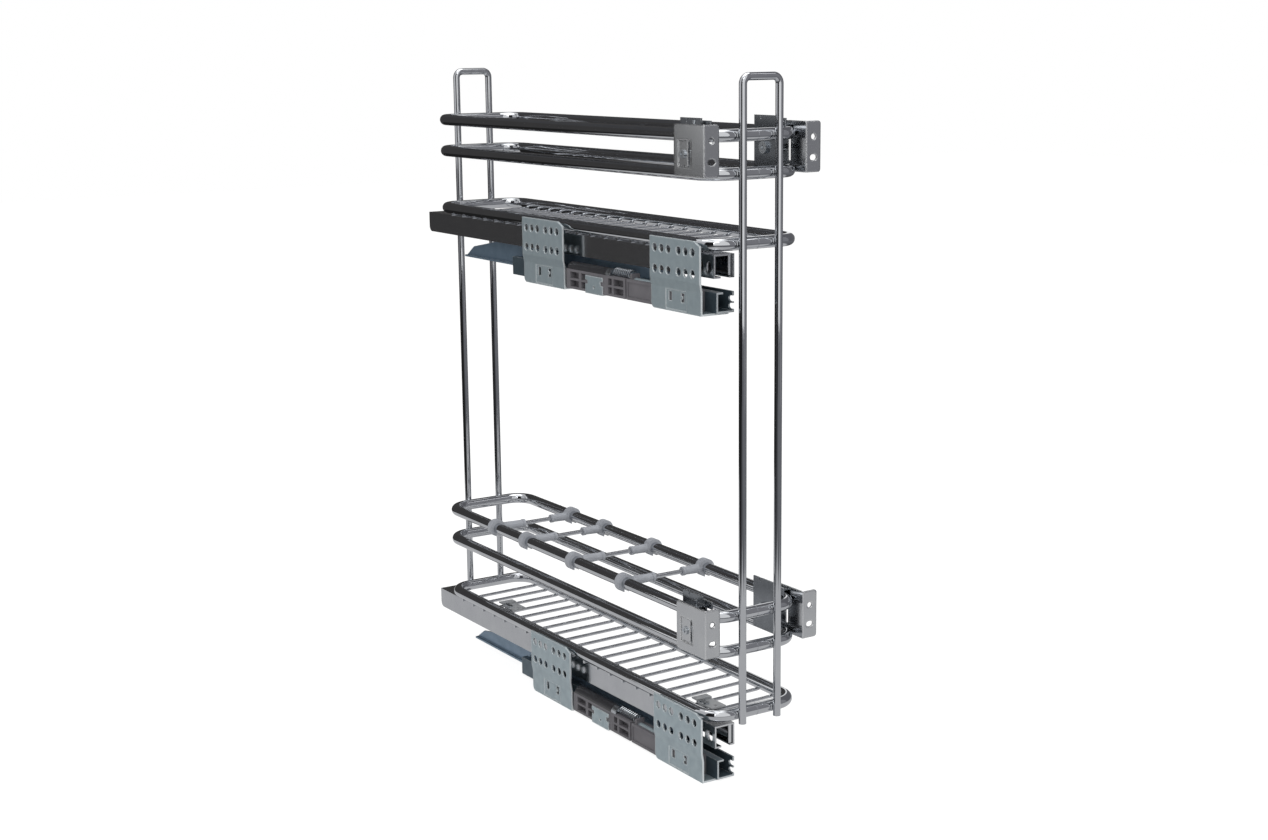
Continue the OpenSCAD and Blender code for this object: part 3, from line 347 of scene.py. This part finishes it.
# --- studio: a pale table on a dark floor, with grey screens that only bright metal mirrors
studio = {
    "floorDrop": 0.0385,                     # the floor lies at the brackets' lowest edge
    "floorSize": 12.0,
    "worldLevel": 0.75,
    "tableMiddle": (0.05, 0.18, 0.0),
    "tableHalf": (0.50, 0.75, 1.0),
    "tableEdge": (-0.04, 0.06),              # metres over which the table fades out
    "tableTone": "#CDCDCE",
    "darkTone": "#262626",
    "greyTone": "#7B7C80",
    "greyWay": (0.6, -0.8, 0.0),             # the floor turns grey this way, over these metres
    "greySpan": (-0.5, 0.7),
    "matteFloor": 0.8,                       # what diffuse light meets
    "faintFloor": 0.22,                      # what the camera sees: a faint shadow on near white
    "whiteLevel": 0.86,
}


def grey(level):
    return (level, level, level, 1.0)


def seenOrMirrored(tree, path):
    seen = addNode(tree, "ShaderNodeMath", {
        0: path.outputs["Is Camera Ray"], 1: path.outputs["Is Glossy Ray"]}, operation="MAXIMUM")
    return addNode(tree, "ShaderNodeMath", {
        0: seen.outputs[0], 1: path.outputs["Is Transmission Ray"]}, operation="MAXIMUM").outputs[0]


def mirroredFloor(tree, spec):           # what chrome sees of the floor: table, then dark or grey
    where = addNode(tree, "ShaderNodeTexCoord").outputs["Object"]
    off = addNode(tree, "ShaderNodeVectorMath", {0: where, 1: spec["tableMiddle"]}, operation="SUBTRACT")
    off = addNode(tree, "ShaderNodeVectorMath", {0: off.outputs["Vector"]}, operation="ABSOLUTE")
    off = addNode(tree, "ShaderNodeVectorMath", {
        0: off.outputs["Vector"], 1: spec["tableHalf"]}, operation="SUBTRACT")
    split = addNode(tree, "ShaderNodeSeparateXYZ", {0: off.outputs["Vector"]})
    away = addNode(tree, "ShaderNodeMath", {
        0: split.outputs["X"], 1: split.outputs["Y"]}, operation="MAXIMUM")
    outside = ramp(tree, away.outputs[0], 0.0, 1.0, *spec["tableEdge"])
    aside = addNode(tree, "ShaderNodeVectorMath", {0: where, 1: spec["greyWay"]}, operation="DOT_PRODUCT")
    front = ramp(tree, aside.outputs["Value"], 0.0, 1.0, *spec["greySpan"])
    far = addNode(tree, "ShaderNodeMix", {
        "Factor": front, "A": linear(spec["darkTone"]), "B": linear(spec["greyTone"])}, data_type="RGBA")
    tone = addNode(tree, "ShaderNodeMix", {
        "Factor": outside, "A": linear(spec["tableTone"]), "B": far.outputs["Result"]}, data_type="RGBA")
    return addNode(tree, "ShaderNodeEmission", {"Color": tone.outputs["Result"], "Strength": 1.0}).outputs[0]


def addSheet(name, corners, height, material):
    mesh = bpy.data.meshes.new(name)
    mesh.from_pydata([(x, y, height) for x, y in corners], [], [range(len(corners))])
    mesh.materials.append(material)
    sheet = bpy.data.objects.new(name, mesh)
    scene.collection.objects.link(sheet)
    return sheet


def addStudio(spec):
    floorMaterial, tree = newMaterial("paleFloor")
    path = addNode(tree, "ShaderNodeLightPath")
    matte = addNode(tree, "ShaderNodeBsdfDiffuse", {"Color": grey(spec["matteFloor"])})
    faint = addNode(tree, "ShaderNodeBsdfDiffuse", {"Color": grey(spec["faintFloor"])})
    white = addNode(tree, "ShaderNodeEmission", {"Color": grey(1), "Strength": spec["whiteLevel"]})
    pale = addNode(tree, "ShaderNodeAddShader", {0: faint.outputs[0], 1: white.outputs[0]})
    mixed = addNode(tree, "ShaderNodeMixShader", {
        0: path.outputs["Is Camera Ray"], 1: matte.outputs[0], 2: pale.outputs[0]})
    mirrored = addNode(tree, "ShaderNodeMath", {
        0: path.outputs["Is Glossy Ray"], 1: path.outputs["Is Transmission Ray"]}, operation="MAXIMUM")
    mixed = addNode(tree, "ShaderNodeMixShader", {
        0: mirrored.outputs[0], 1: mixed.outputs[0], 2: mirroredFloor(tree, spec)})
    addNode(tree, "ShaderNodeOutputMaterial", {"Surface": mixed.outputs[0]})
    half = spec["floorSize"] / 2
    floor = addSheet("floor", [(-half, -half), (half, -half), (half, half), (-half, half)],
                     -spec["floorDrop"], floorMaterial)

    world = bpy.data.worlds.new("paleStudio")
    scene.world = world
    world.use_nodes = True
    tree = world.node_tree
    tree.nodes.clear()
    path = addNode(tree, "ShaderNodeLightPath")
    level = ramp(tree, seenOrMirrored(tree, path), spec["worldLevel"], 1.0, 0.0, 1.0)
    sky = addNode(tree, "ShaderNodeBackground", {"Color": grey(1), "Strength": level})
    addNode(tree, "ShaderNodeOutputWorld", {"Surface": sky.outputs[0]})


addStudio(studio)


def cardMaterial(name, hexColour):
    material, tree = newMaterial(name)
    glow = addNode(tree, "ShaderNodeEmission", {"Color": linear(hexColour), "Strength": 1.0})
    addNode(tree, "ShaderNodeOutputMaterial", {"Surface": glow.outputs[0]})
    return material


cards = {
    "centre": (0.05, 0.18),
    "radius": 1.5,
    "faceDegrees": 8,
    "tones": {"dark": "#474646", "side": "#8A8A8D", "sideHigh": "#D4D4D6", "shade": "#232324",
              "bright": "#FFFFFF", "front": "#909094", "right": "#707074", "high": "#4C4C4E"},
    "arcs": [                                # name, from and to in degrees, foot, top, tone
        ("rearCard", 50, 131, -0.03, 1.12, "dark"),
        ("rearTopCard", 50, 131, 1.12, 1.9, "high"),
        ("sideCard", 142, 192, 0.12, 0.32, "side"),
        ("sideTopCard", 142, 192, 0.32, 1.9, "sideHigh"),
        ("shadeCard", 192, 226, 0.0, 1.9, "shade"),
        ("gleamCard", 228, 278, 0.12, 1.6, "bright"),
        ("frontCard", 282, 330, 0.0, 3.2, "front"),
        ("rightCard", 330, 400, 0.0, 3.2, "right"),
    ],
}


def addCards(spec, tones):
    for name, low, high, foot, top, tone in spec["arcs"]:
        steps = max(2, round((high - low) / spec["faceDegrees"]))
        points = []
        for i in range(steps + 1):
            a = math.radians(low + (high - low) * i / steps)
            points.append((spec["centre"][0] + spec["radius"] * math.cos(a),
                           spec["centre"][1] + spec["radius"] * math.sin(a)))
        verts = [(x, y, z) for x, y in points for z in (foot, top)]
        faces = [(2 * i, 2 * i + 2, 2 * i + 3, 2 * i + 1) for i in range(steps)]
        mesh = bpy.data.meshes.new(name)
        mesh.from_pydata(verts, [], faces)
        mesh.materials.append(tones[tone])
        card = bpy.data.objects.new(name, mesh)
        scene.collection.objects.link(card)
        onlyMirrored(card)


def onlyMirrored(card):
    card.visible_camera = False
    card.visible_diffuse = False
    card.visible_transmission = False
    card.visible_volume_scatter = False
    card.visible_shadow = False


addCards(cards, {name: cardMaterial(name + "Card", tone) for name, tone in cards["tones"].items()})

lampAim = (0.05, 0.18, 0.2)
lamps = [                                # name, place, size, watts
    ("keyLamp", (-1.4, -1.6, 1.8), 1.2, 22.0),
    ("fillLamp", (1.6, -0.8, 1.5), 1.4, 12.0),
    ("topLamp", (0.0, 0.3, 2.2), 1.6, 14.0),
]


def addLamps(specs):
    for name, place, size, watts in specs:
        data = bpy.data.lights.new(name, "AREA")
        data.size = size
        data.energy = watts
        lamp = bpy.data.objects.new(name, data)
        lamp.location = place
        aim = Vector(lampAim) - Vector(place)
        lamp.rotation_euler = aim.to_track_quat("-Z", "Y").to_euler()
        scene.collection.objects.link(lamp)


addLamps(lamps)
print("studio set")
